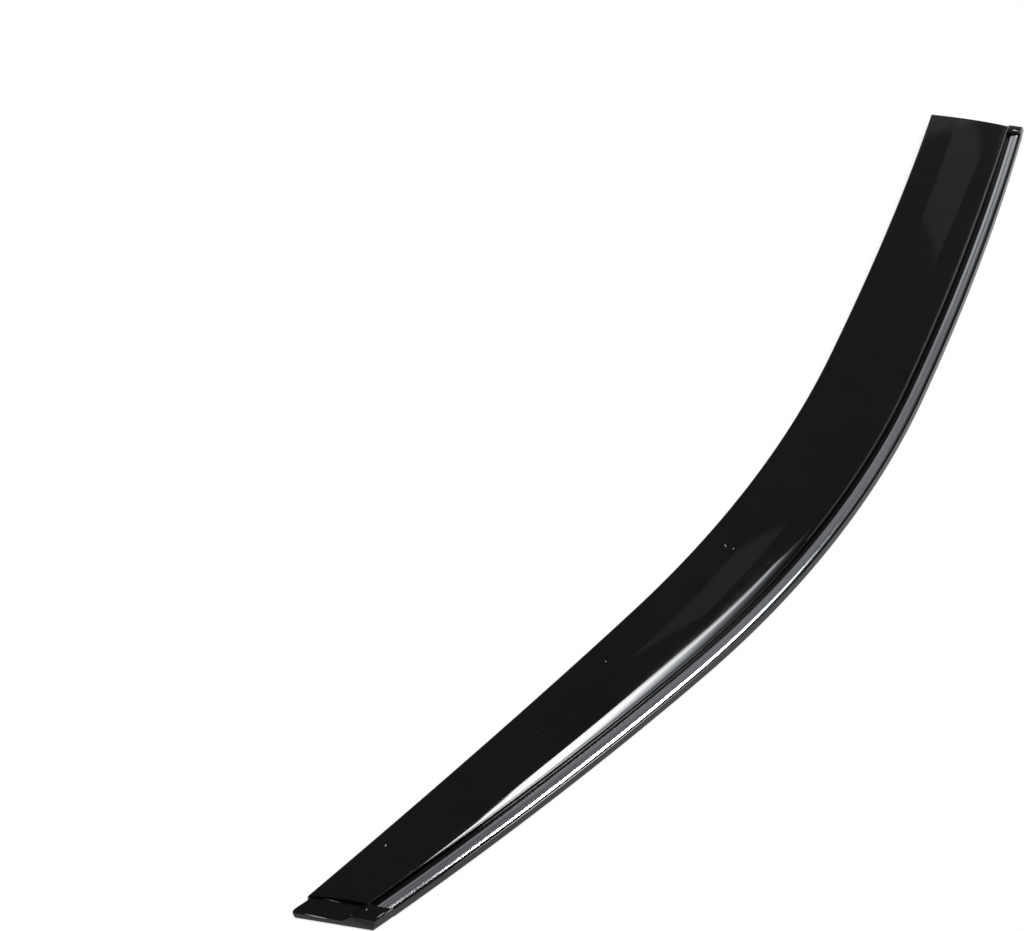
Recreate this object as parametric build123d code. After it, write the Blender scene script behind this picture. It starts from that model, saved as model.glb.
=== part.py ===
from build123d import *
import os
from math import cos, radians, sin, tan

# Rain deflector for a right-hand front door window, in millimetres.
# X runs along the roof edge towards the square rear end, Y towards the free edge, Z out of the car.
# The origin lies on the adhesive face, under the middle of the roof edge's bend.

# Roof edge in plan: a slightly bowed run, one bend and a second bowed run, tangent to each other
FRONT_RUN = 302.0
FRONT_RADIUS = 3060.0
BEND_RADIUS = 952.0
BEND_ANGLE = 20.4
REAR_RUN = 379.5
REAR_RADIUS = 3520.0
FRONT_LEAN = 29.0  # angle of each cut end to the square of the bend's middle
REAR_LEAN = 26.5

# Adhesive foam tape
TAPE_THICKNESS = 1.1
TAPE_WIDTH = 7.0
TAPE_MARGIN = 2.5  # bare border between the tape and the moulding's edge

# Rail along the roof edge: a flange with an open channel for the bright strip; heights above its underside
FLANGE = 2.0
RAIL_HEIGHT = 5.6
WALL_LEAN = 2.2
OUTER_RIM = 1.5
CHANNEL_WIDTH = 7.8
INNER_WALL = 1.2
INNER_RIM_HEIGHT = 3.4
GROOVE_WIDTH = 1.6
GROOVE_FLOOR = 2.6
RIM_BEVEL = 0.5

# Bright strip: thin rolled sheet with a domed top and two legs, lower on its inner side
STRIP_GAUGE = 0.6
STRIP_OUTER_HEIGHT = 4.8
STRIP_INNER_HEIGHT = 3.4
STRIP_CROWN = 1.3
STRIP_BEVEL = 0.4
STRIP_FIT = 0.1

# Blown-out panel: widths from the roof edge and heights above the flange's underside
PANEL_WALL = 2.5
FREE_WIDTH_FRONT = 46.9
FREE_WIDTH_MIDDLE = 82.8
FREE_WIDTH_REAR = 90.8
FREE_WIDTH_SWING = 5.0  # extra width of the front half, taken off the rear half
FREE_HEIGHT_FRONT = 6.0
FREE_HEIGHT_MIDDLE = 9.9
FREE_HEIGHT_REAR = 16.8
SHOULDER_WIDTH_FRONT = 2.5
SHOULDER_WIDTH_MIDDLE = 13.0
SHOULDER_WIDTH_REAR = 5.5
SHOULDER_HEIGHT_FRONT = 8.2
SHOULDER_HEIGHT_MIDDLE = 10.8
SHOULDER_HEIGHT_REAR = 13.7
FOOT_SLOPE = 72.0
SHOULDER_SLOPE = 10.0
FREE_SLOPE_FRONT = -16.0
FREE_SLOPE_MIDDLE = -9.0
FREE_SLOPE_REAR = -2.0
NOSE_BEVEL = 1.0
PANEL_STATIONS = 13

# Ends: a pad in front, a flange with a foot behind, and a block that stops the strip at each
PLATE = 2.8
PAD_WIDTH = 13.8
PAD_REACH = 42.6
PAD_DRAFT = 10.0
PAD_TIP_ROUND = 3.0
FRONT_DRAFT = 36.0  # lean of the pad's and the block's front face
REAR_FLANGE = 8.4
REAR_DRAFT = 25.0
FOOT_REACH = 87.5
FOOT_ROUND = 4.0
FRONT_BLOCK_HEIGHT = 6.4
FRONT_BLOCK_LENGTH = 14.5
FRONT_BLOCK_WIDTH = 14.5
FRONT_BLOCK_SIDE = 30.0
FRONT_BLOCK_ROUND = 0.5
REAR_BLOCK_HEIGHT = 8.6
REAR_BLOCK_LENGTH = 13.5
REAR_BLOCK_WIDTH = 15.2
REAR_BLOCK_SIDE = 12.0
REAR_BLOCK_DRAFT = 25.0
REAR_BLOCK_ROUND = 2.4

# Lines shared by the pieces, as distances in from the roof edge and heights above the resting plane
BEND_LENGTH = BEND_RADIUS * radians(BEND_ANGLE)
EDGE_LENGTH = FRONT_RUN + BEND_LENGTH + REAR_RUN
EDGE_Y = -(TAPE_MARGIN + TAPE_WIDTH / 2)
BASE = TAPE_THICKNESS
FLANGE_TOP = BASE + FLANGE
PLATE_TOP = BASE + PLATE
RIM_TOP = BASE + RAIL_HEIGHT
INNER_RIM_TOP = BASE + INNER_RIM_HEIGHT
GROOVE_Z = BASE + GROOVE_FLOOR
CHANNEL_OUTER = WALL_LEAN + OUTER_RIM
CHANNEL_INNER = CHANNEL_OUTER + CHANNEL_WIDTH
GROOVE_OUTER = CHANNEL_INNER + INNER_WALL
PANEL_FOOT = GROOVE_OUTER + GROOVE_WIDTH
PANEL_SINK = 0.6  # the panel starts this far below the groove's floor, inside the flange
SLAB_INNER = PANEL_FOOT + PANEL_WALL / 2

UP = Vector(0, 0, 1)
FRONT_NORMAL = Vector(cos(radians(FRONT_LEAN)), sin(radians(FRONT_LEAN)), 0)
REAR_NORMAL = Vector(cos(radians(REAR_LEAN)), sin(radians(REAR_LEAN)), 0)
FRONT_HEADING = -radians(BEND_ANGLE) / 2 - FRONT_RUN / FRONT_RADIUS
FRONT_REACH = FREE_WIDTH_FRONT * tan(radians(FRONT_LEAN) - FRONT_HEADING) + PANEL_WALL
REAR_REACH = 2 * PANEL_WALL


# Step along an arc that starts with a heading
def arc_step(heading, radius, length):
    turned = heading + length / radius
    return Vector(sin(turned) - sin(heading), cos(heading) - cos(turned)) * radius


# Plane across the roof edge at a distance from its front corner: local x inwards, local y up
def edge_plane(distance):
    past_middle = distance - FRONT_RUN - BEND_LENGTH / 2
    in_bend = min(max(past_middle, -BEND_LENGTH / 2), BEND_LENGTH / 2)
    in_run = past_middle - in_bend
    run_radius = FRONT_RADIUS if in_run < 0 else REAR_RADIUS
    bend_heading = in_bend / BEND_RADIUS
    heading = bend_heading + in_run / run_radius
    bend_end = Vector(0, EDGE_Y) + arc_step(0, BEND_RADIUS, in_bend)
    origin = bend_end + arc_step(bend_heading, run_radius, in_run)
    along = Vector(cos(heading), sin(heading))
    return Plane(origin, x_dir=(-sin(heading), cos(heading), 0), z_dir=along)


# One arc of the roof edge between two distances
def edge_arc(start, end):
    return ThreePointArc(*[edge_plane(stop).origin for stop in (start, (start + end) / 2, end)])


# Sweep a section along the roof edge, run on past both corners
def along_edge(section):
    bend_start = FRONT_RUN
    bend_end = FRONT_RUN + BEND_LENGTH
    front = edge_arc(-FRONT_REACH, bend_start)
    rear = edge_arc(bend_end, EDGE_LENGTH + REAR_REACH)
    path = front + edge_arc(bend_start, bend_end) + rear
    return sweep(edge_plane(-FRONT_REACH) * section, path=path)


FRONT = edge_plane(0)
REAR = edge_plane(EDGE_LENGTH)


# Planes parallel to the cut ends, facing into the part; a draft leans them inwards above the given height
def end_cut(corner, inward, inset, draft, height):
    tilt = radians(draft)
    return Plane(corner.origin + inward * inset + UP * height, z_dir=inward * cos(tilt) - UP * sin(tilt))


def front_cut(inset, draft=0, height=BASE):
    return end_cut(FRONT, FRONT_NORMAL, inset, draft, height)


def rear_cut(inset, draft=0, height=BASE):
    return end_cut(REAR, -REAR_NORMAL, inset, draft, height)


# Keep what lies on the facing side of every plane
def inside(shape, *planes):
    for plane in planes:
        shape = split(shape, bisect_by=plane, keep=Keep.TOP)
    return shape


# Where a line parallel to the roof edge, at a distance in from it, meets an upright cut
def on_cut(corner, cut, distance):
    start = corner.from_local_coords((distance, 0, 0))
    gap = (cut.origin - start).dot(cut.z_dir) / corner.z_dir.dot(cut.z_dir)
    reached = start + corner.z_dir * gap
    return Vector(reached.X, reached.Y, 0)


# Flat plate between two cuts and two lines parallel to the roof edge, with its outer free corner rounded
def end_plate(corner, outer_cut, inner_cut, near, far, bottom, thickness, corner_round=0):
    heel = on_cut(corner, outer_cut, near)
    tip = on_cut(corner, outer_cut, far)
    inner_tip = on_cut(corner, inner_cut, far)
    inner_heel = on_cut(corner, inner_cut, near)
    plate = make_face(Polyline(heel, tip, inner_tip, inner_heel, close=True))
    if corner_round:
        plate = fillet(plate.vertices().sort_by_distance(tip)[0], corner_round)
    return extrude(Pos(0, 0, bottom) * plate, thickness, dir=UP)


# Value that passes through three stations along the roof edge
def blend(front, middle, rear, station):
    return middle + (rear - front) / 2 * station + ((rear + front) / 2 - middle) * station**2


def free_width(station):
    swing = FREE_WIDTH_SWING * station * (station**2 - 1)
    return blend(FREE_WIDTH_FRONT, FREE_WIDTH_MIDDLE, FREE_WIDTH_REAR, station) + swing


def slope(degrees):
    return Vector(cos(radians(degrees)), sin(radians(degrees)))


# Section curve of the panel from its foot over the shoulder to the free edge, set in by a wall
def panel_curve(distance, wall):
    station = 2 * distance / EDGE_LENGTH - 1
    free_slope = blend(FREE_SLOPE_FRONT, FREE_SLOPE_MIDDLE, FREE_SLOPE_REAR, station)
    shoulder_width = blend(SHOULDER_WIDTH_FRONT, SHOULDER_WIDTH_MIDDLE, SHOULDER_WIDTH_REAR, station)
    shoulder_height = blend(SHOULDER_HEIGHT_FRONT, SHOULDER_HEIGHT_MIDDLE, SHOULDER_HEIGHT_REAR, station)
    free_height = blend(FREE_HEIGHT_FRONT, FREE_HEIGHT_MIDDLE, FREE_HEIGHT_REAR, station)
    foot_way = slope(FOOT_SLOPE)
    shoulder_way = slope(SHOULDER_SLOPE)
    free_way = slope(free_slope)
    foot = Vector(PANEL_FOOT, GROOVE_Z) - foot_way * PANEL_SINK
    shoulder = Vector(PANEL_FOOT + shoulder_width, BASE + shoulder_height)
    free = Vector(free_width(station) - NOSE_BEVEL, BASE + free_height)
    foot += slope(FOOT_SLOPE - 90) * wall
    shoulder += slope(SHOULDER_SLOPE - 90) * wall
    free += slope(free_slope - 90) * wall
    rise = (shoulder - foot).length / 2
    reach = (free - shoulder).length / 3
    shoulder_curve = Bezier(foot, foot + foot_way * rise, shoulder - shoulder_way * rise, shoulder)
    panel = Bezier(shoulder, shoulder + shoulder_way * reach, free - free_way * reach, free)
    return foot, free, free_way, shoulder_curve, panel


# Section of the panel's full outer form, down to the flange's underside
def form_section(distance):
    foot, free, free_way, shoulder_curve, panel = panel_curve(distance, 0)
    nose = free + free_way * NOSE_BEVEL - Vector(0, NOSE_BEVEL)
    foot_low = Vector(foot.X, BASE)
    nose_low = Vector(nose.X, BASE)
    edges = [Line(foot_low, foot), shoulder_curve, panel]
    edges += Polyline(free, nose, nose_low, foot_low).edges()
    return edge_plane(distance) * make_face(edges)


# Section of the hollow under the panel, open below and past the free edge
def core_section(distance):
    foot, free, free_way, shoulder_curve, panel = panel_curve(distance, PANEL_WALL)
    past = free + free_way * (NOSE_BEVEL + PANEL_WALL)
    foot_low = foot - slope(FOOT_SLOPE) * (GROOVE_FLOOR + TAPE_THICKNESS)
    past_low = Vector(past.X, foot_low.Y)
    edges = [Line(foot_low, foot), shoulder_curve, panel]
    edges += Polyline(free, past, past_low, foot_low).edges()
    return edge_plane(distance) * make_face(edges)


# Thin panel with its front and rear end walls: the outer form less the hollow
def make_panel():
    span = EDGE_LENGTH + FRONT_REACH + REAR_REACH
    stations = [span * step / (PANEL_STATIONS - 1) - FRONT_REACH for step in range(PANEL_STATIONS)]
    front_wall = front_cut(PAD_WIDTH, PAD_DRAFT, PLATE_TOP)
    rear_wall = rear_cut(REAR_FLANGE, REAR_DRAFT, PLATE_TOP)
    form = inside(loft([form_section(station) for station in stations]), front_wall, rear_wall)
    core = loft([core_section(station) for station in stations])
    core = inside(core, front_wall.offset(PANEL_WALL), rear_wall.offset(PANEL_WALL))
    return form - core


# Flange, channel walls and groove
def rail_section():
    rim_corner = (WALL_LEAN, RIM_TOP)
    points = [
        (0, BASE),
        rim_corner,
        (CHANNEL_OUTER, RIM_TOP),
        (CHANNEL_OUTER, FLANGE_TOP),
        (CHANNEL_INNER, FLANGE_TOP),
        (CHANNEL_INNER, INNER_RIM_TOP),
        (GROOVE_OUTER, INNER_RIM_TOP),
        (GROOVE_OUTER, GROOVE_Z),
        (SLAB_INNER, GROOVE_Z),
        (SLAB_INNER, BASE),
    ]
    face = make_face(Polyline(*points, close=True))
    return chamfer(face.vertices().sort_by_distance((*rim_corner, 0))[0], RIM_BEVEL)


def make_rail():
    return inside(along_edge(rail_section()), front_cut(FRONT_BLOCK_LENGTH), rear_cut(REAR_BLOCK_LENGTH))


# Blocks that close the channel at each end, their outer side in line with the rail's
def block(height, top_width, side_draft, planes, rounding):
    lean = WALL_LEAN * height / RAIL_HEIGHT
    foot_width = top_width + (height - FLANGE) * tan(radians(side_draft))
    points = [
        (0, BASE),
        (lean, BASE + height),
        (top_width, BASE + height),
        (foot_width, FLANGE_TOP),
        (foot_width, BASE),
    ]
    bar = along_edge(make_face(Polyline(*points, close=True)))
    bar = inside(bar, *planes)
    return fillet(bar.faces().sort_by(Axis.Z)[-1].edges(), rounding)


def make_front_block():
    planes = [front_cut(0, FRONT_DRAFT), -front_cut(FRONT_BLOCK_LENGTH)]
    return block(FRONT_BLOCK_HEIGHT, FRONT_BLOCK_WIDTH, FRONT_BLOCK_SIDE, planes, FRONT_BLOCK_ROUND)


def make_rear_block():
    planes = [rear_cut(0, REAR_BLOCK_DRAFT), -rear_cut(REAR_BLOCK_LENGTH)]
    return block(REAR_BLOCK_HEIGHT, REAR_BLOCK_WIDTH, REAR_BLOCK_SIDE, planes, REAR_BLOCK_ROUND)


# One moulding: rail, panel, front pad, rear flange with its foot, and the two blocks
def make_body():
    pad_back = front_cut(PAD_WIDTH + PANEL_WALL)
    pad = end_plate(FRONT, front_cut(0), pad_back, CHANNEL_INNER, PAD_REACH, BASE, PLATE, PAD_TIP_ROUND)
    pad = inside(pad, front_cut(0, FRONT_DRAFT))
    flange_back = rear_cut(REAR_FLANGE + PANEL_WALL)
    flange = end_plate(REAR, rear_cut(0), flange_back, CHANNEL_INNER, FOOT_REACH, BASE, PLATE, FOOT_ROUND)
    return make_rail() + make_panel() + pad + flange + make_front_block() + make_rear_block()


# Bright strip pressed into the channel between the blocks
def make_strip():
    outer_side = CHANNEL_OUTER + STRIP_FIT
    inner_side = CHANNEL_INNER - STRIP_FIT
    middle = (outer_side + inner_side) / 2
    crown = BASE + (STRIP_OUTER_HEIGHT + STRIP_INNER_HEIGHT) / 2 + STRIP_CROWN
    outer_top = (outer_side, BASE + STRIP_OUTER_HEIGHT)
    inner_top = (inner_side, BASE + STRIP_INNER_HEIGHT)
    outer_leg = Line((outer_side, FLANGE_TOP), outer_top)
    dome = ThreePointArc(outer_top, (middle, crown), inner_top)
    inner_leg = Line(inner_top, (inner_side, FLANGE_TOP))
    skin = Wire([outer_leg, dome, inner_leg])
    face = make_face(skin.offset_2d(STRIP_GAUGE, kind=Kind.INTERSECTION, side=Side.RIGHT))
    shoulders = [face.vertices().sort_by_distance((*top, 0))[0] for top in (outer_top, inner_top)]
    strip = along_edge(chamfer(shoulders, STRIP_BEVEL))
    front_end = front_cut(FRONT_BLOCK_LENGTH + STRIP_FIT)
    rear_end = rear_cut(REAR_BLOCK_LENGTH + STRIP_FIT)
    return inside(strip, front_end, rear_end)


# Foam tape under the rail, the front pad and the rear flange
def make_roof_tape():
    section = Pos(TAPE_MARGIN + TAPE_WIDTH / 2, TAPE_THICKNESS / 2) * Rectangle(TAPE_WIDTH, TAPE_THICKNESS)
    return inside(along_edge(section), front_cut(TAPE_MARGIN), rear_cut(TAPE_MARGIN))


def make_end_tapes():
    near = TAPE_MARGIN + TAPE_WIDTH + TAPE_MARGIN
    border = TAPE_MARGIN / 2
    front_far = PAD_REACH - 2 * PAD_TIP_ROUND
    front = end_plate(FRONT, front_cut(border), front_cut(PAD_WIDTH), near, front_far, 0, TAPE_THICKNESS)
    rear_far = FOOT_REACH - FOOT_ROUND
    rear = end_plate(REAR, rear_cut(border), rear_cut(REAR_FLANGE), near, rear_far, 0, TAPE_THICKNESS)
    return front, rear


front_tape, rear_tape = make_end_tapes()
PIECES = {
    "visor_body": make_body(),
    "trim_strip": make_strip(),
    "tape_roof_edge": make_roof_tape(),
    "tape_front_pad": front_tape,
    "tape_rear_flange": rear_tape,
}

os.makedirs("parts", exist_ok=True)
for name, piece in PIECES.items():
    export_step(piece, f"parts/{name}.step")
    print(name, "volume", round(piece.volume), "solids", len(piece.solids()))
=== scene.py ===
import math

import bpy
from mathutils import Matrix, Vector
from mathutils.geometry import interpolate_bezier


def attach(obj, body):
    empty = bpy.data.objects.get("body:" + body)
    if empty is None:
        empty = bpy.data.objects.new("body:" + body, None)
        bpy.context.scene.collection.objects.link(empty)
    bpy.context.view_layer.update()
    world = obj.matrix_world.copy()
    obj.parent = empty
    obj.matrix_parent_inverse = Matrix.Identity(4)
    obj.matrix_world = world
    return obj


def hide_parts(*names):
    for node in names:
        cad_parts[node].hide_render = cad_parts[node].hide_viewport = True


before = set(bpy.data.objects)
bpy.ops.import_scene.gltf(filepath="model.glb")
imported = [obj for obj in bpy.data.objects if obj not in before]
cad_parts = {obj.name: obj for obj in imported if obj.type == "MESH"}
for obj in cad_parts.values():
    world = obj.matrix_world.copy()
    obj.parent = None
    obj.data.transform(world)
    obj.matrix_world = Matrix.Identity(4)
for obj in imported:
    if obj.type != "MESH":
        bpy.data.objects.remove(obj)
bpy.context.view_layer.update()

tapeNodes = [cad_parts[name] for name in ("tape_roof_edge", "tape_front_pad", "tape_rear_flange")]
upward = Vector((0.0, 0.0, 1.0))
print("frame loaded:", len(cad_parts), "nodes")

# The photographer's own axes on the floor, seen in the part's frame
studio = {
    "turn": 51.754,  # degrees between the photographer's right and the part's X
    "aim": (-0.1042, 0.2419, 0.0),
    "elevation": 54.0,
    "distance": 1.162,
    "focalPixels": 1404.0,
    "frameWidth": 1024,
    "nudgePixels": 0.5,  # the fit counts pixels from their centres
    "sensorWidth": 36.0,
    "clip": (0.02, 60.0),
}


def toPart(right, away, up):
    turn = math.radians(studio["turn"])
    x = right * math.cos(turn) + away * math.sin(turn)
    y = away * math.cos(turn) - right * math.sin(turn)
    return Vector((x, y, up))


def skyward(azimuth, elevation):
    flat = math.cos(math.radians(elevation))
    side = math.radians(azimuth)
    return toPart(flat * math.cos(side), flat * math.sin(side), math.sin(math.radians(elevation)))


def addCamera():
    aim = Vector(studio["aim"])
    spot = aim + skyward(-90, studio["elevation"]) * studio["distance"]
    bpy.ops.object.camera_add(location=spot)
    camera = bpy.context.object
    camera.name = "photoCamera"
    camera.rotation_euler = (aim - spot).to_track_quat("-Z", "Y").to_euler()
    camera.data.sensor_fit = "HORIZONTAL"
    camera.data.sensor_width = studio["sensorWidth"]
    camera.data.lens = studio["sensorWidth"] * studio["focalPixels"] / studio["frameWidth"]
    camera.data.shift_x = -studio["nudgePixels"] / studio["frameWidth"]
    camera.data.shift_y = studio["nudgePixels"] / studio["frameWidth"]
    camera.data.clip_start, camera.data.clip_end = studio["clip"]
    bpy.context.scene.camera = camera


bpy.ops.object.select_all(action="DESELECT")
addCamera()
print("camera set")


# Shader nodes that the stage and the finishes share
def addPlace(tree, kind):
    return tree.nodes.new("ShaderNodeTexCoord").outputs[kind]


def splitPlace(tree, kind):
    node = tree.nodes.new("ShaderNodeSeparateXYZ")
    tree.links.new(addPlace(tree, kind), node.inputs[0])
    return node.outputs


def addMath(tree, operation, *values):
    node = tree.nodes.new("ShaderNodeMath")
    node.operation = operation
    for socket, value in zip(node.inputs, values):
        if isinstance(value, (int, float)):
            socket.default_value = value
        else:
            tree.links.new(value, socket)
    return node.outputs[0]


def addRange(tree, value, source, target, easing="SMOOTHSTEP"):
    node = tree.nodes.new("ShaderNodeMapRange")
    node.interpolation_type = easing
    for label, number in zip(("From Min", "From Max", "To Min", "To Max"), source + target):
        node.inputs[label].default_value = number
    tree.links.new(value, node.inputs["Value"])
    return node.outputs["Result"]


def addColourMix(tree, factor, first, second):
    node = tree.nodes.new("ShaderNodeMix")
    node.data_type = "RGBA"
    for socket, value in ((node.inputs["A"], first), (node.inputs["B"], second)):
        if isinstance(value, tuple):
            socket.default_value = value + (1.0,)
        else:
            tree.links.new(value, socket)
    tree.links.new(factor, node.inputs["Factor"])
    return node.outputs["Result"]


def startStageMaterial(name):
    finish = bpy.data.materials.new(name)
    finish.use_nodes = True
    tree = finish.node_tree
    tree.nodes.clear()
    return finish, tree, tree.nodes.new("ShaderNodeOutputMaterial")


# Soft studio light: a long curved light that is only mirrored, a soft key overhead and dim panels
lightArch = {
    "rim": [  # crisp outer edge: azimuth from the photographer's right, elevation
        (-44, -14), (-42, 12), (-38, 37.5), (-28.3, 59), (-9, 70.5),
        (12.4, 74), (29.8, 70), (36.2, 64), (37.6, 58.8),
    ],
    "inner": [  # edge where the glow ends
        (-3, -14), (-3, 9), (-1, 20), (4, 34), (12, 43.5),
        (19.5, 50), (27, 55), (34, 57.5), (37.6, 58.5),
    ],
    "full": 8.0,  # degrees from the rim at full strength
    "halving": 3.3,  # degrees in which the glow halves
    "insetSpan": 90.0,  # degrees from the rim that the UV counts as one
    "radiance": 25.0,
    "lowFade": (-0.03, 0.2),  # share of the length over which the low end brightens
    "lowLevel": 0.1,
    "farFade": (1.0, 0.62),  # and the far end, from its tip
    "farLevel": 0.06,
    "fullTint": (1.0, 1.0, 1.0),
    "glowTint": (0.86, 0.95, 1.0),
    "reach": (4.7, 8.0),  # the low end stands nearer, in front of the paper
    "aim": ((-0.42, 0.1, 0.0), (-0.2, 0.05, 0.0)),
    "lowPart": (0.15, 0.3),
    "rows": 96,
    "columns": 36,
}
softKey = {"place": (0.0, 0.1, 4.5), "size": (3.0, 3.0), "radiance": 6.0}
backPanel = {"towards": (85.0, 26.0), "reach": 6.0, "size": (10.0, 2.55), "radiance": 0.22}
ceiling = {
    "height": 6.0,
    "turn": -34.0,
    "glow": (0.9, 1.06, 1.12),
    "panels": [  # spot that mirrors it, then place and size as shares of the height
        {"above": (-0.098, 0.043, 0.013), "place": (0.21, 0.533), "size": (0.285, 0.163), "radiance": 0.13},
        {"above": (0.400, 0.104, 0.016), "place": (0.53, 1.02), "size": (0.27, 0.22), "radiance": 0.12},
    ],
}
dimRoom = {"colour": (0.99, 1.0, 1.05), "strength": 0.17}


def alongEdge(edge, share):
    last = len(edge) - 1
    spot = share * last
    number = min(int(spot), last - 1)
    near = [Vector(edge[min(max(number + step, 0), last)]) for step in (-1, 0, 1, 2)]
    before, first, second, after = near
    handles = (first + (second - before) / 6, second - (after - first) / 6)
    part = spot - number
    flat = first * (1 - part) ** 3 + handles[0] * 3 * part * (1 - part) ** 2
    flat += handles[1] * 3 * part**2 * (1 - part) + second * part**3
    return skyward(flat.x, flat.y)


def makeArchGlow():
    finish, tree, output = startStageMaterial("archGlow")
    emission = tree.nodes.new("ShaderNodeEmission")
    tree.links.new(emission.outputs[0], output.inputs["Surface"])
    place = splitPlace(tree, "UV")
    full, span = lightArch["full"], lightArch["insetSpan"]
    halvings = (0.0, (full - span) / lightArch["halving"])  # of the glow, inward
    glow = addMath(tree, "POWER", 2.0, addRange(tree, place["X"], (full / span, 1.0), halvings, "LINEAR"))
    low = addRange(tree, place["Y"], lightArch["lowFade"], (lightArch["lowLevel"], 1.0), "LINEAR")
    far = addRange(tree, place["Y"], lightArch["farFade"], (lightArch["farLevel"], 1.0))
    level = addMath(tree, "MULTIPLY", glow, addMath(tree, "MULTIPLY", low, far))
    strength = addMath(tree, "MULTIPLY", level, lightArch["radiance"])
    tree.links.new(strength, emission.inputs["Strength"])
    tint = addColourMix(tree, glow, lightArch["glowTint"], lightArch["fullTint"])
    tree.links.new(tint, emission.inputs["Color"])
    return finish


def addLightArch():
    rows, columns = lightArch["rows"], lightArch["columns"]
    bpy.ops.mesh.primitive_grid_add(
        x_subdivisions=columns, y_subdivisions=rows, size=1.0, location=(0.0, 0.0, 0.0)
    )
    arch = bpy.context.object
    arch.name = "lightArch"
    start, stop = lightArch["lowPart"]
    inset = []
    for row in range(rows + 1):
        share = row / rows
        rim = alongEdge(lightArch["rim"], share)
        inner = alongEdge(lightArch["inner"], share)
        part = min(max((share - start) / (stop - start), 0.0), 1.0)
        reach = lightArch["reach"][0] * (1 - part) + lightArch["reach"][1] * part
        aim = Vector(lightArch["aim"][0]).lerp(Vector(lightArch["aim"][1]), part)
        for column in range(columns + 1):
            way = rim.slerp(inner, column / columns)
            arch.data.vertices[row * (columns + 1) + column].co = aim + way * reach
            inset.append((math.degrees(rim.angle(way)) / lightArch["insetSpan"], share))
    layer = arch.data.uv_layers.active.data
    for corner in arch.data.loops:
        layer[corner.index].uv = inset[corner.vertex_index]
    arch.data.materials.append(makeArchGlow())
    arch.visible_camera = False
    arch.visible_shadow = False
    arch.visible_diffuse = False  # mirrored only: the key lights matt faces at a plain level
    bpy.ops.object.select_all(action="DESELECT")


def addAreaLamp(name, place, axes, size, radiance, colour=(1.0, 1.0, 1.0)):
    bpy.ops.object.light_add(type="AREA", location=place)
    lamp = bpy.context.object
    lamp.name = name
    lamp.rotation_euler = Matrix(axes).transposed().to_euler()
    lamp.data.shape = "RECTANGLE"
    lamp.data.size, lamp.data.size_y = size
    lamp.data.energy = radiance * 4.0 * size[0] * size[1]  # watts that give this radiance
    lamp.data.color = colour
    lamp.visible_camera = False
    return lamp


def addSoftKey():
    axes = (Vector((1.0, 0.0, 0.0)), Vector((0.0, 1.0, 0.0)), upward)
    key = addAreaLamp("softKey", Vector(softKey["place"]), axes, softKey["size"], softKey["radiance"])
    key.visible_glossy = False


def addBackPanel():
    facing = skyward(*backPanel["towards"])
    xAxis = upward.cross(facing).normalized()
    axes = (xAxis, facing.cross(xAxis), facing)
    addAreaLamp("backPanel", facing * backPanel["reach"], axes, backPanel["size"], backPanel["radiance"])


def addCeilingPanels():
    turn = math.radians(ceiling["turn"])
    xAxis = toPart(math.cos(turn), math.sin(turn), 0.0)
    axes = (xAxis, upward.cross(xAxis), upward)
    for number, panel in enumerate(ceiling["panels"]):
        name = "ceilingPanel%d" % (number + 1)
        place = Vector(panel["above"]) + toPart(*panel["place"], 1.0) * ceiling["height"]
        size = [side * ceiling["height"] for side in panel["size"]]
        addAreaLamp(name, place, axes, size, panel["radiance"], ceiling["glow"])


def setRoom():
    scene = bpy.context.scene
    scene.view_settings.view_transform = "Standard"
    room = bpy.data.worlds.new("dimRoom")
    scene.world = room
    room.use_nodes = True
    background = room.node_tree.nodes["Background"]
    background.inputs["Color"].default_value = dimRoom["colour"] + (1.0,)
    background.inputs["Strength"].default_value = dimRoom["strength"]


addLightArch()
addSoftKey()
addBackPanel()
addCeilingPanels()
setRoom()
print("light set")

# Pale floor that runs up into a low wall all round
sweep = {
    "radius": 5.0,
    "sides": 96,
    "wall": 1.3,
    "corner": 0.5,
    "steps": 8,
    "smoothAngle": 40.0,
    "paper": 0.92,
    "lift": 0.65,  # share of plain white where it is seen
    "fade": (0.02, 0.3),  # mirrored, the wall is dimmer than the floor
}


def makePalePaper():
    finish, tree, output = startStageMaterial("palePaper")
    matt = tree.nodes.new("ShaderNodeBsdfDiffuse")
    matt.inputs["Color"].default_value = (sweep["paper"],) * 3 + (1.0,)
    white = tree.nodes.new("ShaderNodeEmission")
    path = tree.nodes.new("ShaderNodeLightPath")
    low = addRange(tree, splitPlace(tree, "Object")["Z"], sweep["fade"], (1.0, 0.0), "LINEAR")
    mirrored = addMath(tree, "MULTIPLY", path.outputs["Is Glossy Ray"], low)
    seen = addMath(tree, "ADD", path.outputs["Is Camera Ray"], mirrored)
    seenThrough = addMath(tree, "ADD", seen, path.outputs["Is Transmission Ray"])
    seenThrough.node.use_clamp = True
    blend = tree.nodes.new("ShaderNodeMixShader")
    tree.links.new(addMath(tree, "MULTIPLY", seenThrough, sweep["lift"]), blend.inputs[0])
    tree.links.new(matt.outputs[0], blend.inputs[1])
    tree.links.new(white.outputs[0], blend.inputs[2])
    tree.links.new(blend.outputs[0], output.inputs["Surface"])
    return finish


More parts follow.
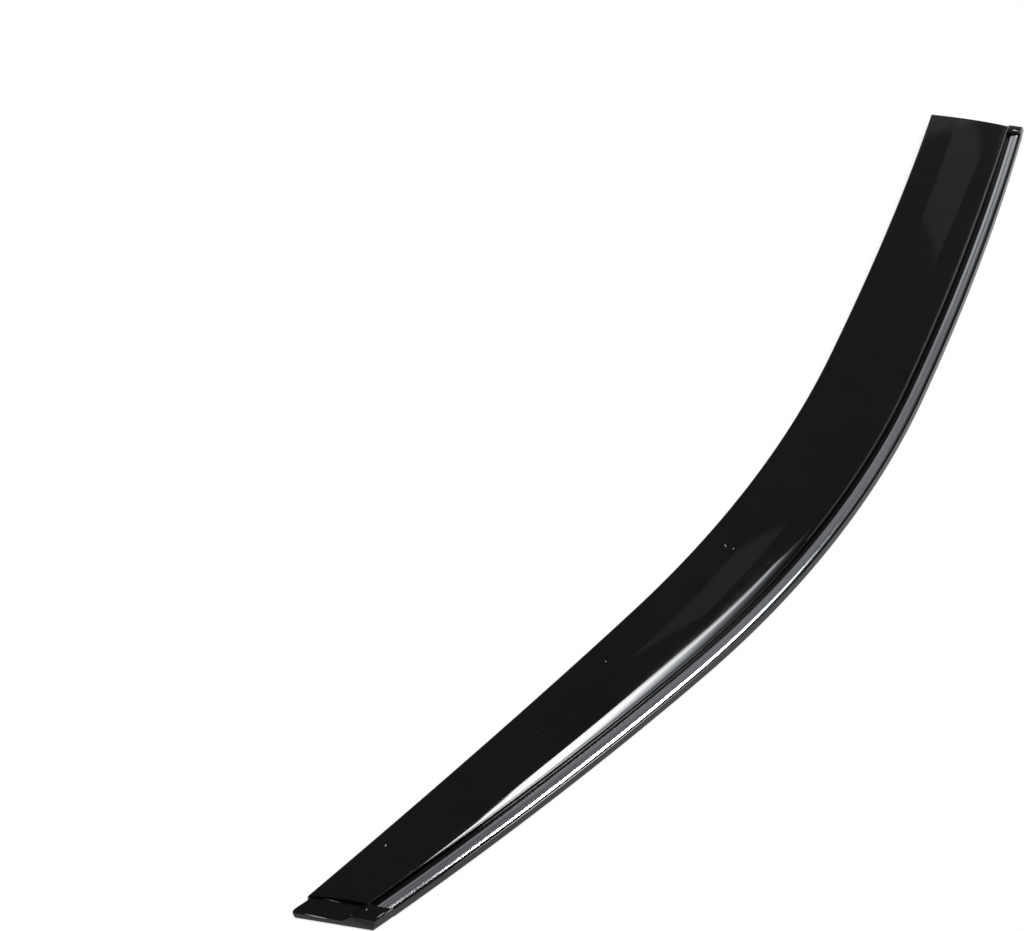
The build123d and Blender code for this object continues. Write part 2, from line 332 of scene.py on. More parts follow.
def addSweep():
    radius, corner = sweep["radius"], sweep["corner"]
    bpy.ops.mesh.primitive_circle_add(
        vertices=sweep["sides"], radius=radius, fill_type="NGON", location=(0.0, 0.0, 0.0)
    )
    paper = bpy.context.object
    paper.name = "paperSweep"
    bpy.ops.object.mode_set(mode="EDIT")
    bpy.ops.mesh.select_all(action="DESELECT")
    bpy.ops.mesh.select_mode(type="EDGE")
    bpy.ops.mesh.select_non_manifold()
    quarter = math.pi / 2 / sweep["steps"]
    for step in range(sweep["steps"]):  # rounded corner between floor and wall
        rise = corner * (math.cos(quarter * step) - math.cos(quarter * (step + 1)))
        out = corner * (math.sin(quarter * (step + 1)) - math.sin(quarter * step))
        grow = (radius + out) / radius
        radius += out
        bpy.ops.mesh.extrude_edges_move(TRANSFORM_OT_translate={"value": (0.0, 0.0, rise)})
        bpy.ops.transform.resize(value=(grow, grow, 1.0), center_override=(0.0, 0.0, 0.0))
    bpy.ops.mesh.extrude_edges_move(TRANSFORM_OT_translate={"value": (0.0, 0.0, sweep["wall"] - corner)})
    bpy.ops.mesh.select_all(action="SELECT")
    bpy.ops.mesh.normals_make_consistent(inside=True)
    bpy.ops.object.mode_set(mode="OBJECT")
    bpy.ops.object.shade_smooth_by_angle(angle=math.radians(sweep["smoothAngle"]))
    paper.data.materials.append(makePalePaper())
    bpy.ops.object.select_all(action="DESELECT")


addSweep()
print("floor laid")

# The moulding's sizes as the solids have them, in millimetres
roofEdge = {  # three tangent arcs in plan
    "frontRun": 302.0,
    "frontRadius": 3060.0,
    "bendRadius": 952.0,
    "bendAngle": 20.4,
    "rearRun": 379.5,
    "rearRadius": 3520.0,
    "setBack": 6.0,  # the edge lies this far outside the origin
    "frontLean": 29.0,  # angle of each cut end
    "rearLean": 26.5,
    "overrun": 60.0,  # sections run on past the corners before the cut
}
railSizes = {
    "base": 1.1,
    "flangeTop": 3.1,
    "rimTop": 6.7,
    "innerRimTop": 4.5,
    "grooveFloor": 3.7,
    "wallLean": 2.2,
    "channelOuter": 3.7,
    "channelInner": 11.5,
    "grooveOuter": 12.7,
    "panelFoot": 14.3,
    "slabInner": 15.55,
    "rimRounds": (0.45, 0.25),  # outer and inner edge of each rim
    "innerRimRounds": (0.2, 0.3),
    "grooveRound": 0.25,
    "step": 6.1,  # rows along the edge, uneven with the panel's so that no faces meet in one plane
}
panelSizes = {
    "wall": 2.5,
    "sink": 0.6,
    "freeWidth": (46.9, 82.8, 90.8),  # front, middle, rear
    "swing": 5.0,
    "freeHeight": (6.0, 9.9, 16.8),
    "freeSlope": (-16.0, -9.0, -2.0),
    "shoulderWidth": (2.5, 13.0, 5.5),
    "shoulderHeight": (8.2, 10.8, 13.7),
    "footSlope": 72.0,
    "shoulderSlope": 10.0,
    "nose": 1.0,
    "shoulderSteps": 16,
    "panelSteps": 44,
    "noseSteps": 6,
    "formStep": 4.5,
    "coreStep": 5.3,
}
endSizes = {
    "plateTop": 3.9,
    "padWidth": 13.8,
    "padReach": 42.6,
    "padDraft": 10.0,
    "padTipRound": 3.0,
    "frontDraft": 36.0,
    "rearFlange": 8.4,
    "rearDraft": 25.0,
    "footReach": 87.5,
    "footRound": 4.0,
    "roundSteps": 8,
    "underPanel": 0.6,  # share of the panel's wall that the plates run under
    "overlap": 3.0,  # the rail runs this far into each block
    "seam": 0.02,  # keeps joined faces from lying in one plane
}
blockSizes = {
    "front": {"height": 6.4, "length": 14.5, "width": 14.5, "side": 30.0, "round": 0.5, "steps": 3},
    "rear": {"height": 8.6, "length": 13.5, "width": 15.2, "side": 12.0, "round": 3.2, "steps": 9},
    "run": 40.0,  # drawn this far to both sides of the corner before the cuts
}
meshSizes = {"merge": 0.0005, "crumb": 0.003, "cutGap": 0.00001, "smoothAngle": 32.0}
bendLength = roofEdge["bendRadius"] * math.radians(roofEdge["bendAngle"])
edgeLength = roofEdge["frontRun"] + bendLength + roofEdge["rearRun"]
cornerAt = {"front": 0.0, "rear": edgeLength}


def arcStep(heading, radius, length):
    turned = heading + length / radius
    return Vector((math.sin(turned) - math.sin(heading), math.cos(heading) - math.cos(turned), 0.0)) * radius


def edgeFrame(distance):
    pastMiddle = distance - roofEdge["frontRun"] - bendLength / 2
    inBend = min(max(pastMiddle, -bendLength / 2), bendLength / 2)
    inRun = pastMiddle - inBend
    runRadius = roofEdge["frontRadius"] if inRun < 0 else roofEdge["rearRadius"]
    bendHeading = inBend / roofEdge["bendRadius"]
    heading = bendHeading + inRun / runRadius
    origin = Vector((0.0, -roofEdge["setBack"], 0.0)) + arcStep(0.0, roofEdge["bendRadius"], inBend)
    origin += arcStep(bendHeading, runRadius, inRun)
    along = Vector((math.cos(heading), math.sin(heading), 0.0))
    inward = Vector((-math.sin(heading), math.cos(heading), 0.0))
    return origin, along, inward


def onSection(distance, across, height):
    origin, along, inward = edgeFrame(distance)
    return origin + inward * across + upward * height


def endCut(end, inset, draft=0.0, height=railSizes["base"]):
    lean = math.radians(roofEdge[end + "Lean"])
    into = Vector((math.cos(lean), math.sin(lean), 0.0))
    into = into if end == "front" else -into
    corner = edgeFrame(cornerAt[end])[0]
    tilt = math.radians(draft)
    return corner + into * inset + upward * height, into * math.cos(tilt) - upward * math.sin(tilt)


def choose(piece):
    bpy.ops.object.select_all(action="DESELECT")
    bpy.context.view_layer.objects.active = piece
    piece.select_set(True)


def keepInside(*cuts):
    gap = meshSizes["cutGap"]
    for place, facing in cuts:
        bpy.ops.mesh.select_all(action="SELECT")
        bpy.ops.mesh.bisect(plane_co=place, plane_no=-facing, use_fill=True, clear_outer=True, threshold=gap)


def startLoop(name, corners):
    bpy.ops.object.select_all(action="DESELECT")
    bpy.ops.mesh.primitive_circle_add(vertices=len(corners), fill_type="NGON", location=(0.0, 0.0, 0.0))
    piece = bpy.context.object
    piece.name = name
    for vertex, corner in zip(piece.data.vertices, corners):
        vertex.co = corner
    bpy.ops.object.mode_set(mode="EDIT")
    bpy.ops.mesh.select_all(action="SELECT")
    return piece


def closeUp():
    bpy.ops.mesh.select_all(action="SELECT")
    bpy.ops.mesh.remove_doubles(threshold=meshSizes["merge"])
    bpy.ops.mesh.normals_make_consistent(inside=False)
    bpy.ops.object.mode_set(mode="OBJECT")


def arcPoints(centre, radius, first, last, steps):
    start = math.atan2(first.y - centre.y, first.x - centre.x)
    stop = math.atan2(last.y - centre.y, last.x - centre.x)
    turn = math.remainder(stop - start, 2 * math.pi)  # the shorter way round
    angles = [start + turn * step / steps for step in range(steps + 1)]
    return [centre + Vector((math.cos(angle), math.sin(angle))) * radius for angle in angles]


def roundOff(corners, steps=4):
    points = []
    for number, (across, height, radius) in enumerate(corners):
        spot = Vector((across, height))
        if radius == 0.0:
            points.append(spot)
            continue
        before = (Vector(corners[number - 1][:2]) - spot).normalized()
        after = (Vector(corners[(number + 1) % len(corners)][:2]) - spot).normalized()
        half = before.angle(after) / 2
        centre = spot + (before + after).normalized() * radius / math.sin(half)
        reach = radius / math.tan(half)
        points += arcPoints(centre, radius, spot + before * reach, spot + after * reach, steps)
    return points


def sweepAlongEdge(name, sectionAt, cuts, step):
    span = edgeLength + 2 * roofEdge["overrun"]
    rows = math.ceil(span / step)
    stops = [span * row / rows - roofEdge["overrun"] for row in range(rows + 1)]
    columns = len(sectionAt(0.0))
    bpy.ops.object.select_all(action="DESELECT")
    bpy.ops.mesh.primitive_grid_add(
        x_subdivisions=columns, y_subdivisions=rows, size=1.0, location=(0.0, 0.0, 0.0)
    )
    piece = bpy.context.object
    piece.name = name
    for row, stop in enumerate(stops):
        section = [onSection(stop, across, height) for across, height in sectionAt(stop)]
        for column in range(columns + 1):
            piece.data.vertices[row * (columns + 1) + column].co = section[column % columns]
    bpy.ops.object.mode_set(mode="EDIT")
    bpy.ops.mesh.select_all(action="SELECT")
    bpy.ops.mesh.remove_doubles(threshold=meshSizes["merge"])
    keepInside(*cuts)
    closeUp()
    return piece


def passThrough(values, station):
    front, middle, rear = values
    return middle + (rear - front) / 2 * station + ((rear + front) / 2 - middle) * station**2


def slope(degrees):
    return Vector((math.cos(math.radians(degrees)), math.sin(math.radians(degrees))))


def freeWidth(station):
    return passThrough(panelSizes["freeWidth"], station) + panelSizes["swing"] * station * (station**2 - 1)


def panelCurve(distance, wall):
    station = 2 * distance / edgeLength - 1
    base = railSizes["base"]
    footWay = slope(panelSizes["footSlope"])
    shoulderWay = slope(panelSizes["shoulderSlope"])
    freeAngle = passThrough(panelSizes["freeSlope"], station)
    freeWay = slope(freeAngle)
    foot = Vector((railSizes["panelFoot"], railSizes["grooveFloor"])) - footWay * panelSizes["sink"]
    shoulderOut = passThrough(panelSizes["shoulderWidth"], station)
    shoulderUp = passThrough(panelSizes["shoulderHeight"], station)
    shoulder = Vector((railSizes["panelFoot"], base)) + Vector((shoulderOut, shoulderUp))
    freeUp = passThrough(panelSizes["freeHeight"], station)
    free = Vector((freeWidth(station) - panelSizes["nose"], base + freeUp))
    foot += slope(panelSizes["footSlope"] - 90) * wall
    shoulder += slope(panelSizes["shoulderSlope"] - 90) * wall
    free += slope(freeAngle - 90) * wall
    rise = (shoulder - foot).length / 2
    reach = (free - shoulder).length / 3
    handles = (foot + footWay * rise, shoulder - shoulderWay * rise)
    curve = interpolate_bezier(foot, *handles, shoulder, panelSizes["shoulderSteps"])[:-1]
    handles = (shoulder + shoulderWay * reach, free - freeWay * reach)
    curve += interpolate_bezier(shoulder, *handles, free, panelSizes["panelSteps"])
    return [spot.to_2d() for spot in curve], freeWay


def formSection(distance):
    curve, freeWay = panelCurve(distance, 0.0)
    base = railSizes["base"] + endSizes["seam"]
    free = curve[-1]
    corner = free + freeWay * panelSizes["nose"]
    nose = corner - Vector((0.0, panelSizes["nose"]))
    for step in range(1, panelSizes["noseSteps"] + 1):  # rounded free edge
        share = step / panelSizes["noseSteps"]
        curve.append(free * (1 - share) ** 2 + corner * 2 * share * (1 - share) + nose * share**2)
    return curve + [Vector((nose.x, base)), Vector((curve[0].x, base))]


def coreSection(distance):
    curve, freeWay = panelCurve(distance, panelSizes["wall"])
    past = curve[-1] + freeWay * (panelSizes["nose"] + panelSizes["wall"])
    low = curve[0] - slope(panelSizes["footSlope"]) * railSizes["grooveFloor"]
    return curve + [past, Vector((past.x, low.y)), low]


def panelCuts(wall):
    front = endCut("front", endSizes["padWidth"], endSizes["padDraft"], endSizes["plateTop"])
    rear = endCut("rear", endSizes["rearFlange"], endSizes["rearDraft"], endSizes["plateTop"])
    return [(place + facing * wall, facing) for place, facing in (front, rear)]


def makePanelForm():
    return sweepAlongEdge("deflectorBody", formSection, panelCuts(0.0), panelSizes["formStep"])


def makePanelCore():
    return sweepAlongEdge("panelCore", coreSection, panelCuts(panelSizes["wall"]), panelSizes["coreStep"])


def makeRail():
    rimRound, lipRound = railSizes["rimRounds"]
    innerLipRound, innerRimRound = railSizes["innerRimRounds"]
    profile = roundOff([
        (0.0, railSizes["base"], 0.0),
        (railSizes["wallLean"], railSizes["rimTop"], rimRound),
        (railSizes["channelOuter"], railSizes["rimTop"], lipRound),
        (railSizes["channelOuter"], railSizes["flangeTop"], 0.0),
        (railSizes["channelInner"], railSizes["flangeTop"], 0.0),
        (railSizes["channelInner"], railSizes["innerRimTop"], innerLipRound),
        (railSizes["grooveOuter"], railSizes["innerRimTop"], innerRimRound),
        (railSizes["grooveOuter"], railSizes["grooveFloor"], railSizes["grooveRound"]),
        (railSizes["slabInner"], railSizes["grooveFloor"], 0.0),
        (railSizes["slabInner"], railSizes["base"], 0.0),
    ])
    cuts = [endCut(end, blockSizes[end]["length"] - endSizes["overlap"]) for end in ("front", "rear")]
    return sweepAlongEdge("rail", lambda distance: profile, cuts, railSizes["step"])


def makeBlock(end):
    size = blockSizes[end]
    seam = endSizes["seam"]
    base = railSizes["base"] + 2 * seam
    top = railSizes["base"] + size["height"]
    lean = railSizes["wallLean"] * size["height"] / (railSizes["rimTop"] - railSizes["base"])
    footWidth = size["width"] + (top - railSizes["flangeTop"]) * math.tan(math.radians(size["side"]))
    profile = [
        (seam, base),
        (lean + seam, top),
        (size["width"], top),
        (footWidth, railSizes["flangeTop"]),
        (footWidth, base),
    ]
    first, last = cornerAt[end] - blockSizes["run"], cornerAt[end] + blockSizes["run"]
    block = startLoop(end + "Block", [onSection(first, across, height) for across, height in profile])
    reach = edgeFrame(last)[0] - edgeFrame(first)[0]
    bpy.ops.mesh.extrude_region_move(TRANSFORM_OT_translate={"value": reach})
    outer = endCut(end, 0.0, endSizes[end + "Draft"])
    inner = endCut(end, size["length"])
    keepInside(outer, (inner[0], -inner[1]))
    closeUp()
    bpy.ops.object.mode_set(mode="EDIT")
    bpy.ops.mesh.select_mode(type="FACE")
    bpy.ops.mesh.select_all(action="DESELECT")
    bpy.ops.object.mode_set(mode="OBJECT")
    for face in block.data.polygons:  # the flat top, for its rounded edge
        face.select = face.normal.z > 0.99 and face.center.z > top - 0.1
    bpy.ops.object.mode_set(mode="EDIT")
    bpy.ops.mesh.region_to_loop()
    bpy.ops.mesh.bevel(offset=size["round"], segments=size["steps"], profile=0.5, affect="EDGES")
    closeUp()
    return block


def whereCut(end, inset, across):
    origin, along, inward = edgeFrame(cornerAt[end])
    place, facing = endCut(end, inset)
    spot = origin + inward * across
    return (spot + along * ((place - spot).dot(facing) / along.dot(facing))).to_2d()


def makePlate(name, end, width, far, corner):
    near = railSizes["channelInner"]
    back = width + endSizes["underPanel"] * panelSizes["wall"]
    spots = [
        (*whereCut(end, 0.0, near), 0.0),
        (*whereCut(end, 0.0, far), corner),
        (*whereCut(end, back, far), 0.0),
        (*whereCut(end, back, near), 0.0),
    ]
    base = railSizes["base"] + 3 * endSizes["seam"]
    plate = startLoop(name, [(x, y, base) for x, y in roundOff(spots, endSizes["roundSteps"])])
    lift = (0.0, 0.0, endSizes["plateTop"] - base)
    bpy.ops.mesh.extrude_region_move(TRANSFORM_OT_translate={"value": lift})
    return plate


def makePad():
    width, reach = endSizes["padWidth"], endSizes["padReach"]
    pad = makePlate("frontPad", "front", width, reach, endSizes["padTipRound"])
    keepInside(endCut("front", 0.0, endSizes["frontDraft"]))
    closeUp()
    return pad


def makeFoot():
    width, reach = endSizes["rearFlange"], endSizes["footReach"]
    foot = makePlate("rearFoot", "rear", width, reach, endSizes["footRound"])
    closeUp()
    return foot


def combine(body, tool, way):
    choose(body)
    cut = body.modifiers.new(way.lower(), "BOOLEAN")
    cut.operation = way
    cut.solver = "EXACT"
    cut.object = tool
    bpy.ops.object.modifier_apply(modifier=cut.name)
    bpy.data.objects.remove(tool)


def clearCrumbs(body):
    choose(body)
    bpy.ops.object.mode_set(mode="EDIT")
    bpy.ops.mesh.select_all(action="SELECT")
    bpy.ops.mesh.remove_doubles(threshold=meshSizes["crumb"])
    bpy.ops.mesh.dissolve_degenerate(threshold=meshSizes["crumb"])
    bpy.ops.object.mode_set(mode="OBJECT")


def makeBody():
    body = makePanelForm()
    combine(body, makePanelCore(), "DIFFERENCE")
    for part in (makeRail(), makePad(), makeFoot(), makeBlock("front"), makeBlock("rear")):
        combine(body, part, "UNION")
    clearCrumbs(body)
    return body


# Strip in the rail's channel, in millimetres
stripSizes = {
    "gauge": 0.6,
    "outerTop": 5.2,
    "innerTop": 5.4,
    "outerSlope": 41.0,  # the crown falls faster towards the roof edge
    "innerSlope": -15.0,
    "handles": (1.6, 3.6),
    "fit": 0.1,
    "round": 0.4,
    "domeSteps": 26,
    "step": 4.5,
}


def makeStrip():
    gauge = stripSizes["gauge"]
    outer = railSizes["channelOuter"] + stripSizes["fit"]
    inner = railSizes["channelInner"] - stripSizes["fit"]
    floor = railSizes["flangeTop"]
    left, right = Vector((outer, stripSizes["outerTop"])), Vector((inner, stripSizes["innerTop"]))
    handles = (
        left + slope(stripSizes["outerSlope"]) * stripSizes["handles"][0],
        right - slope(stripSizes["innerSlope"]) * stripSizes["handles"][1],
    )
    crown = interpolate_bezier(left, *handles, right, stripSizes["domeSteps"] + 1)
    dome = [spot.to_2d() for spot in crown]
    skin = [Vector((outer, floor))] + dome + [Vector((inner, floor))]
    low = [spot - Vector((0.0, gauge)) for spot in dome if outer + gauge < spot.x < inner - gauge]
    liner = [Vector((outer + gauge, floor)), Vector((outer + gauge, low[0].y))] + low
    liner += [Vector((inner - gauge, low[-1].y)), Vector((inner - gauge, floor))]
    corners = [(spot.x, spot.y, 0.0) for spot in skin]
    for number in (1, -2):  # both edges of the crown are rounded
        corners[number] = (*corners[number][:2], stripSizes["round"])
    profile = roundOff(corners) + list(reversed(liner))
    cuts = [endCut(end, blockSizes[end]["length"] + stripSizes["fit"]) for end in ("front", "rear")]
    return sweepAlongEdge("brightStrip", lambda distance: profile, cuts, stripSizes["step"])


def finishShape(piece, node):
    choose(piece)
    bpy.ops.object.mode_set(mode="EDIT")
    bpy.ops.mesh.select_all(action="SELECT")
    bpy.ops.transform.resize(value=(0.001, 0.001, 0.001), center_override=(0.0, 0.0, 0.0))  # to metres
    bpy.ops.object.mode_set(mode="OBJECT")
    bpy.ops.object.shade_smooth_by_angle(angle=math.radians(meshSizes["smoothAngle"]))
    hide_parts(node)
    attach(piece, "root")


deflectorBody = makeBody()
finishShape(deflectorBody, "visor_body")
print("body shaped:", len(deflectorBody.data.polygons), "faces")
brightTrim = makeStrip()
finishShape(brightTrim, "trim_strip")
print("strip shaped:", len(brightTrim.data.polygons), "faces")

# Handling marks as a node group that every finish shares
handlingMarks = {
    "waver": (14.0, 0.01),  # scale and reach of the hairlines' bends
    "lineTurn": 0.35,
    "lineCells": (9.0, 240.0, 60.0),  # long cells along the part
    "lineEdge": (0.0, 0.02),
    "linePatches": (30.0, 3.0),  # scale and detail
    "lineShare": (0.56, 0.7),
    "speckScale": 260.0,
    "speckEdge": (0.03, 0.07),
    "speckShare": (0.9, 0.92),
    "smear": (11.0, 5.0, 0.6),  # scale, detail and roughness
    "smearShare": (0.35, 0.75),
}
rising, falling = (0.0, 1.0), (1.0, 0.0)


def newGroup(name, inputs, outputs):
    group = bpy.data.node_groups.new(name, "ShaderNodeTree")
    for label, kind, value in inputs:
        socket = group.interface.new_socket(label, in_out="INPUT", socket_type=kind)
        socket.default_value = value
    for label, kind in outputs:
        group.interface.new_socket(label, in_out="OUTPUT", socket_type=kind)
    entry = group.nodes.new("NodeGroupInput")
    leave = group.nodes.new("NodeGroupOutput")
    return group, entry, leave


def addNoise(tree, place, scale, detail=2.0, roughness=0.5):
    node = tree.nodes.new("ShaderNodeTexNoise")
    for label, number in (("Scale", scale), ("Detail", detail), ("Roughness", roughness)):
        node.inputs[label].default_value = number
    tree.links.new(place, node.inputs["Vector"])
    return node.outputs


def addCells(tree, place, scale, feature="F1"):
    node = tree.nodes.new("ShaderNodeTexVoronoi")
    node.feature = feature
    node.inputs["Scale"].default_value = scale
    tree.links.new(place, node.inputs["Vector"])
    return node.outputs


def addHairlines(tree, place):
    scale, reach = handlingMarks["waver"]
    moved = tree.nodes.new("ShaderNodeVectorMath")
    moved.operation = "MULTIPLY_ADD"
    tree.links.new(addNoise(tree, place, scale)["Color"], moved.inputs[0])
    moved.inputs[1].default_value = (reach, reach, reach)
    tree.links.new(place, moved.inputs[2])
    stretch = tree.nodes.new("ShaderNodeMapping")
    stretch.inputs["Rotation"].default_value = (0.0, 0.0, handlingMarks["lineTurn"])
    stretch.inputs["Scale"].default_value = handlingMarks["lineCells"]
    tree.links.new(moved.outputs[0], stretch.inputs["Vector"])
    lines = addCells(tree, stretch.outputs[0], 1.0, "DISTANCE_TO_EDGE")
    thin = addRange(tree, lines["Distance"], handlingMarks["lineEdge"], falling)
    patches = addNoise(tree, place, *handlingMarks["linePatches"])
    where = addRange(tree, patches[0], handlingMarks["lineShare"], rising)
    return addMath(tree, "MULTIPLY", thin, where)


def addDust(tree, place):
    specks = addCells(tree, place, handlingMarks["speckScale"])
    grain = addRange(tree, specks["Distance"], handlingMarks["speckEdge"], falling)
    shade = tree.nodes.new("ShaderNodeSeparateColor")
    tree.links.new(specks["Color"], shade.inputs[0])
    chosen = addRange(tree, shade.outputs[0], handlingMarks["speckShare"], rising)
    return addMath(tree, "MULTIPLY", grain, chosen)


def addSmears(tree, place):
    cloud = addNoise(tree, place, *handlingMarks["smear"])
    return addRange(tree, cloud[0], handlingMarks["smearShare"], rising)


def makeHandling():
    outputs = [(label, "NodeSocketFloat") for label in ("Hairlines", "Dust", "Smears")]
    group, entry, leave = newGroup("handling", [("Scale", "NodeSocketFloat", 1.0)], outputs)
    scaled = group.nodes.new("ShaderNodeVectorMath")
    scaled.operation = "SCALE"
    group.links.new(addPlace(group, "Object"), scaled.inputs[0])
    group.links.new(entry.outputs["Scale"], scaled.inputs["Scale"])
    place = scaled.outputs[0]
    group.links.new(addHairlines(group, place), leave.inputs["Hairlines"])
    group.links.new(addDust(group, place), leave.inputs["Dust"])
    group.links.new(addSmears(group, place), leave.inputs["Smears"])
    return group


handling = makeHandling()


def startMaterial(name):
    finish = bpy.data.materials.new(name)
    finish.use_nodes = True
    tree = finish.node_tree
    return finish, tree, tree.nodes["Principled BSDF"]


def addHandling(tree, scale):
    node = tree.nodes.new("ShaderNodeGroup")
    node.node_tree = handling
    node.inputs["Scale"].default_value = scale
    return node.outputs


def addHaze(tree, smears, roughness):
    clean, smeared = roughness
    return addMath(tree, "MULTIPLY_ADD", smears, smeared - clean, clean)


def addBump(tree, height, strength, distance, normal=None):
    node = tree.nodes.new("ShaderNodeBump")
    node.inputs["Strength"].default_value = strength
    node.inputs["Distance"].default_value = distance
    tree.links.new(height, node.inputs["Height"])
    if normal is not None:
        tree.links.new(normal, node.inputs["Normal"])
    return node.outputs["Normal"]


def addEdgeRound(tree, radius):
    node = tree.nodes.new("ShaderNodeBevel")
    node.samples = 6
    node.inputs["Radius"].default_value = radius
    return node.outputs["Normal"]


# Moulded gloss black of the deflector, with a few handling marks and painted edge highlights
glossBlack = {
    "black": (0.0012, 0.0013, 0.0013),
    "smeared": (0.0022, 0.0024, 0.0024),
    # pale colour of dust and scuffs, also used for the painted edge highlights
    "scuffedAndHighlit": (0.32, 0.33, 0.33),
    "roughness": (0.035, 0.075),  # clean and smeared
    "scuffAndHighlightRoughness": 0.6,
    "hairlineRoughness": 0.12,
    "index": 1.49,
    "handling": 1.0,
    "dust": 0.35,
    "edgeRound": 0.00035,
    "skin": (55.0, 1.0),  # scale and detail of the faint moulded waviness
    "scuffAndHighlightRise": 3.0,
    "relief": (0.25, 0.00002),  # strength and depth
    "markGrain": 1800.0,
    "markDepth": 0.004,
    "markEdge": (0.8, 1.1),
    "marks": [  # place, length, width, turn
        # real scuffs and specks on the panel
        ((-0.0683, 0.0574, 0.0123), 0.0028, 0.0009, 1.1),
        ((-0.0671, 0.0508, 0.0128), 0.0016, 0.0008, 0.2),
        ((-0.2087, 0.0715, 0.0112), 0.0011, 0.0008, 0.0),
        ((-0.4157, 0.1071, 0.0092), 0.0016, 0.0009, 0.5),
        # painted highlights: thin light lines along the front pad's and front block's edges and three glints
        # at the block's inner edge, standing in for light that rounded edges mirror
        ((-0.4798, 0.1126, 0.0039), 0.0138, 0.0005, -1.1),
        ((-0.4665, 0.1131, 0.0039), 0.0141, 0.0004, -1.1),
        ((-0.4532, 0.0785, 0.0075), 0.0064, 0.0005, -0.3),
        ((-0.4650, 0.0943, 0.0050), 0.0010, 0.0008, -0.9),
        ((-0.4611, 0.0942, 0.0060), 0.0009, 0.0008, -0.9),
        ((-0.4563, 0.0884, 0.0075), 0.0009, 0.0008, -0.9),
    ],
}


def addMarks(tree):
    place = addPlace(tree, "Object")
    ragged = addNoise(tree, place, glossBlack["markGrain"])
    total = None
    for spot, length, width, turn in glossBlack["marks"]:
        local = tree.nodes.new("ShaderNodeMapping")
        local.vector_type = "TEXTURE"
        local.inputs["Location"].default_value = spot
        local.inputs["Rotation"].default_value = (0.0, 0.0, turn)
        local.inputs["Scale"].default_value = (length, width, glossBlack["markDepth"])
        tree.links.new(place, local.inputs["Vector"])
        far = tree.nodes.new("ShaderNodeVectorMath")
        far.operation = "LENGTH"
        tree.links.new(local.outputs[0], far.inputs[0])
        uneven = addMath(tree, "ADD", far.outputs["Value"], ragged[0])
        mask = addRange(tree, uneven, glossBlack["markEdge"], falling)
        total = mask if total is None else addMath(tree, "MAXIMUM", total, mask)
    return total


def makeGlossBlack():
    finish, tree, shader = startMaterial("glossBlackMoulding")
    wear = addHandling(tree, glossBlack["handling"])
    dust = addMath(tree, "MULTIPLY", wear["Dust"], glossBlack["dust"])
    # pale mask: dust, scuffs and the painted edge highlights, all in the pale colour and rougher
    pale = addMath(tree, "MAXIMUM", addMarks(tree), dust)
    shade = addColourMix(tree, wear["Smears"], glossBlack["black"], glossBlack["smeared"])
    tree.links.new(addColourMix(tree, pale, shade, glossBlack["scuffedAndHighlit"]), shader.inputs["Base Color"])
    haze = addHaze(tree, wear["Smears"], glossBlack["roughness"])
    scratched = addMath(tree, "MULTIPLY", wear["Hairlines"], glossBlack["hairlineRoughness"])
    scuffedAndHighlit = addMath(tree, "MULTIPLY", pale, glossBlack["scuffAndHighlightRoughness"])
    dull = addMath(tree, "MAXIMUM", addMath(tree, "ADD", haze, scratched), scuffedAndHighlit)
    tree.links.new(dull, shader.inputs["Roughness"])
    shader.inputs["IOR"].default_value = glossBlack["index"]
    skin = addNoise(tree, addPlace(tree, "Object"), *glossBlack["skin"])
    raised = addMath(tree, "MULTIPLY_ADD", pale, glossBlack["scuffAndHighlightRise"], skin[0])
    rounded = addEdgeRound(tree, glossBlack["edgeRound"])
    tree.links.new(addBump(tree, raised, *glossBlack["relief"], rounded), shader.inputs["Normal"])
    return finish


# Bright rolled strip
brightStrip = {
    "bright": (0.86, 0.885, 0.90),
    "dimmer": (0.42, 0.435, 0.445),
    "roughness": (0.12, 0.17),
    "handling": 1.7,
    "rolling": (8.0, 1.6),  # streaks across and along
    "streakEdge": (0.38, 0.58),
    "relief": (0.25, 0.0001),
    "edgeRound": 0.0003,
}


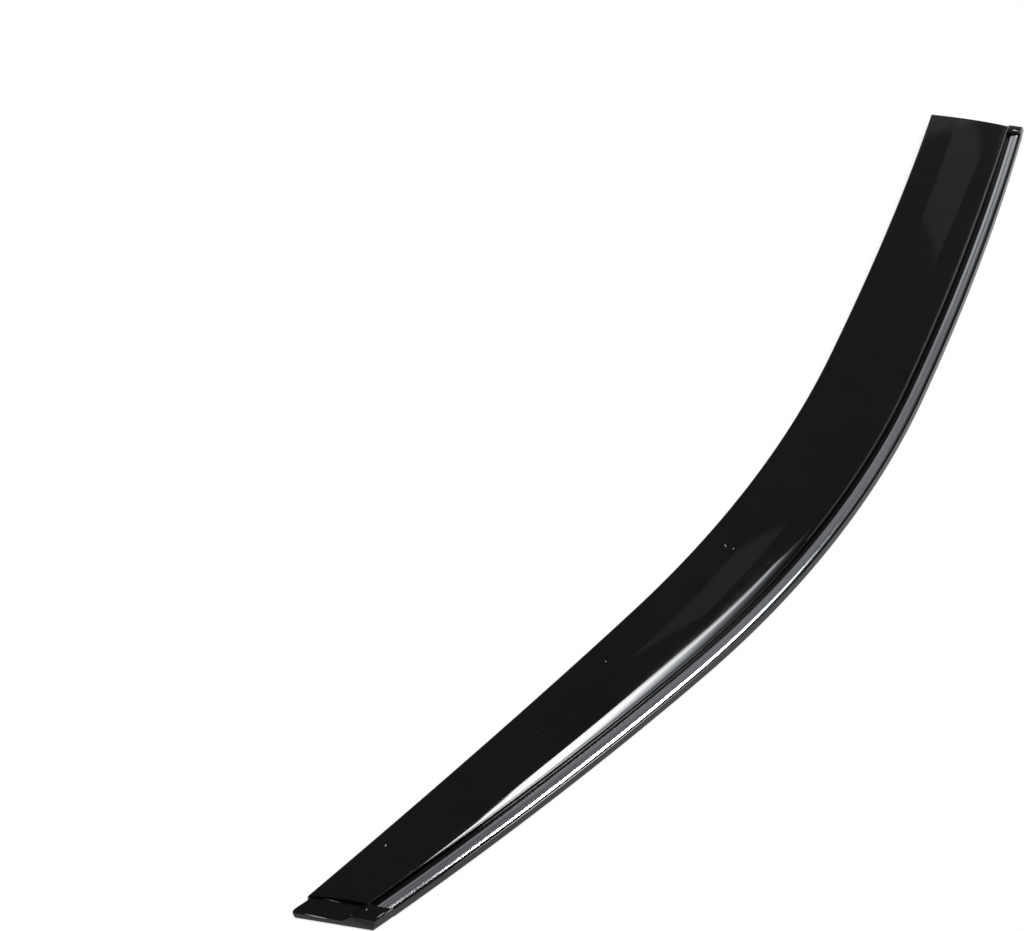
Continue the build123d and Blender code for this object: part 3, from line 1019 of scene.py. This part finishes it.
def makeBrightStrip():
    finish, tree, shader = startMaterial("brightRolledStrip")
    wear = addHandling(tree, brightStrip["handling"])
    drawn = tree.nodes.new("ShaderNodeMapping")
    drawn.inputs["Scale"].default_value = brightStrip["rolling"] + (1.0,)
    tree.links.new(addPlace(tree, "UV"), drawn.inputs["Vector"])
    rolled = addNoise(tree, drawn.outputs[0], 1.0)
    streaks = addRange(tree, rolled[0], brightStrip["streakEdge"], falling)
    shade = addColourMix(tree, streaks, brightStrip["bright"], brightStrip["dimmer"])
    tree.links.new(shade, shader.inputs["Base Color"])
    shader.inputs["Metallic"].default_value = 1.0
    haze = addHaze(tree, wear["Smears"], brightStrip["roughness"])
    tree.links.new(haze, shader.inputs["Roughness"])
    rounded = addEdgeRound(tree, brightStrip["edgeRound"])
    tree.links.new(addBump(tree, rolled[0], *brightStrip["relief"], rounded), shader.inputs["Normal"])
    return finish


# Foam tape: dark foam with a red liner film underneath
foamTape = {
    "foam": (0.035, 0.035, 0.036),
    "pore": (0.012, 0.012, 0.012),
    "liner": (0.52, 0.028, 0.022),
    "creased": (0.38, 0.018, 0.016),
    "creases": 0.5,
    "film": (0.000162, 0.000198),  # the liner ends between these heights
    "roughness": (0.9, 0.32),  # foam and liner
    "handling": 1.3,
    "poreScale": 2200.0,
    "poreEdge": (0.15, 0.45),
    "relief": (0.5, 0.0001),
}


def makeFoamTape():
    finish, tree, shader = startMaterial("foamTapeWithLiner")
    liner = addRange(tree, splitPlace(tree, "Object")["Z"], foamTape["film"], falling)
    cells = addCells(tree, addPlace(tree, "Object"), foamTape["poreScale"])
    pores = addRange(tree, cells["Distance"], foamTape["poreEdge"], falling)
    foam = addColourMix(tree, pores, foamTape["foam"], foamTape["pore"])
    wear = addHandling(tree, foamTape["handling"])
    creased = addMath(tree, "MULTIPLY", wear["Smears"], foamTape["creases"])
    film = addColourMix(tree, creased, foamTape["liner"], foamTape["creased"])
    tree.links.new(addColourMix(tree, liner, foam, film), shader.inputs["Base Color"])
    tree.links.new(addRange(tree, liner, rising, foamTape["roughness"]), shader.inputs["Roughness"])
    relief = addMath(tree, "MULTIPLY", pores, addMath(tree, "SUBTRACT", 1.0, liner))
    tree.links.new(addBump(tree, relief, *foamTape["relief"]), shader.inputs["Normal"])
    return finish


def dress(node, finish):
    node.data.materials.clear()
    node.data.materials.append(finish)


dress(deflectorBody, makeGlossBlack())
dress(brightTrim, makeBrightStrip())
tapeFinish = makeFoamTape()
for tapeNode in tapeNodes:
    dress(tapeNode, tapeFinish)
print("finishes on")
